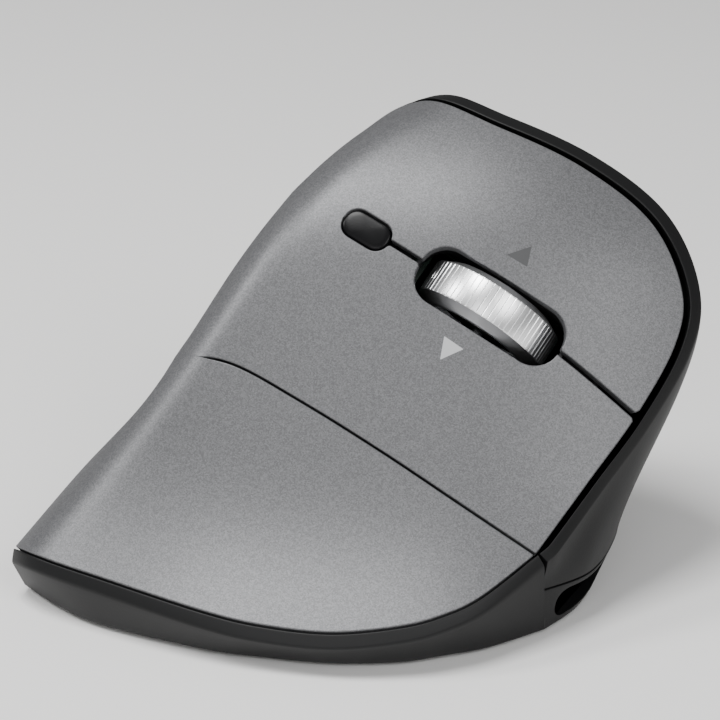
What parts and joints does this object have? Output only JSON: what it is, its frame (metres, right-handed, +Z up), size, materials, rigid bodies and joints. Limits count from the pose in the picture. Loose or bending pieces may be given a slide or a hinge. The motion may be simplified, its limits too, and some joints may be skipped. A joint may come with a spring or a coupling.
{
  "type": "vertical computer mouse",
  "caption": "Right-handed vertical mouse: a sloping grey face with two keys and a metal wheel, on a black thumb shell and flat base.",
  "frame": {"origin": "centre of the bounding box on the desk plane", "axes": "+X to the user's right (the face looks that way and up), +Y away from the user (the wheel's end), +Z up from the desk"},
  "size_m": [0.0814, 0.1128, 0.0752],
  "materials": {
    "shell_black": "fine-grained moulded plastic, satin",
    "face_grey": "soft metallic-flake paint, satin",
    "gloss_black": "smooth and glossy",
    "inner_black": "plain moulded plastic",
    "polished_alloy": "turned and polished, fine cross grooves",
    "bright_steel": "bright steel",
    "circuit_board": "solder-masked board",
    "component_black": "moulded electronic parts",
    "battery_wrap": "shrink wrap",
    "clear_lens": "clear moulded lens",
    "glide": "low-friction pads",
    "ribbon": "flat ribbon cable"
  },
  "bodies": {
    "casing": {"thumb_shell": "shell_black", "base_tray": "shell_black", "button_bridge": "face_grey", "palm_panel": "face_grey", "face_frame": "inner_black", "pivot_bracket_left": "inner_black", "pivot_bracket_right": "inner_black", "screw_1": "bright_steel", "screw_2": "bright_steel", "screw_3": "bright_steel", "screw_4": "bright_steel", "charging_socket": "bright_steel", "power_switch": "bright_steel", "button_board": "circuit_board", "main_board": "circuit_board", "thumb_board": "circuit_board", "left_switch": "component_black", "right_switch": "component_black", "back_switch": "component_black", "forward_switch": "component_black", "middle_switch": "component_black", "dpi_switch": "component_black", "wheel_encoder": "component_black", "sensor_chip": "component_black", "controller_chip": "component_black", "socket_tongue": "component_black", "battery_cell": "battery_wrap", "sensor_lens": "clear_lens", "glide_foot_1": "glide", "glide_foot_2": "glide", "glide_foot_3": "glide", "glide_foot_4": "glide", "button_ribbon": "ribbon"},
    "left_key": {"left_button": "face_grey"},
    "right_key": {"right_button": "face_grey"},
    "left_tip": {"left_plunger": "bright_steel"},
    "right_tip": {"right_plunger": "bright_steel"},
    "yoke": {"wheel_cradle": "inner_black"},
    "wheel": {"wheel_rim": "polished_alloy", "wheel_hub": "inner_black", "wheel_axle": "bright_steel"},
    "speed_key": {"dpi_button": "gloss_black"},
    "thumb_back_key": {"back_button": "gloss_black"},
    "thumb_forward_key": {"forward_button": "gloss_black"},
    "power_slider": {"power_knob": "gloss_black"}
  },
  "joints": [
    {"name": "left_click", "type": "hinge", "parent": "casing", "child": "left_key", "pos_m": [-0.01361, -0.0117, 0.06235], "axis": [-0.6978, 0.5662, 0.4388], "range_deg": [0, 0.9], "stiffness_Nm_per_rad": 1.2, "springref_deg": -0.29},
    {"name": "right_click", "type": "hinge", "parent": "casing", "child": "right_key", "pos_m": [0.0072, -0.02074, 0.03911], "axis": [-0.6407, 0.2783, 0.7156], "range_deg": [0, 0.9], "stiffness_Nm_per_rad": 1.2, "springref_deg": -0.29},
    {"name": "left_tip_press", "type": "slide", "parent": "casing", "child": "left_tip", "axis": [-0.8196, -0.0923, -0.5655], "range_m": [0, 0.00061]},
    {"name": "right_tip_press", "type": "slide", "parent": "casing", "child": "right_tip", "axis": [-0.8196, -0.0923, -0.5655], "range_m": [0, 0.00061]},
    {"name": "wheel_press", "type": "hinge", "parent": "casing", "child": "yoke", "pos_m": [-0.01035, 0.00544, 0.05233], "axis": [-0.5332, 0.4841, 0.6938], "range_deg": [0, 1.5], "stiffness_Nm_per_rad": 0.6, "springref_deg": -1.15},
    {"name": "wheel_spin", "type": "hinge", "parent": "yoke", "child": "wheel", "pos_m": [-0.0065, 0.02077, 0.0446], "axis": [-0.5332, 0.4841, 0.6938], "continuous": true},
    {"name": "speed_press", "type": "slide", "parent": "casing", "child": "speed_key", "axis": [-0.7466, 0, -0.6653], "range_m": [0, 0.0006], "stiffness_N_per_m": 1500, "springref_m": -0.0003},
    {"name": "thumb_back_press", "type": "slide", "parent": "casing", "child": "thumb_back_key", "axis": [0.9475, -0.318, 0.0322], "range_m": [0, 0.0005], "stiffness_N_per_m": 1500, "springref_m": -0.0003},
    {"name": "thumb_forward_press", "type": "slide", "parent": "casing", "child": "thumb_forward_key", "axis": [0.9557, -0.2915, -0.042], "range_m": [0, 0.0005], "stiffness_N_per_m": 1500, "springref_m": -0.0003},
    {"name": "power_slide", "type": "slide", "parent": "casing", "child": "power_slider", "axis": [0, 1, 0], "range_m": [0, 0.0024]}
  ],
  "couplings": [
    {"joint": "left_tip_press", "follows": "left_click", "m_per_rad": 0.0382},
    {"joint": "right_tip_press", "follows": "right_click", "m_per_rad": 0.0382}
  ]
}
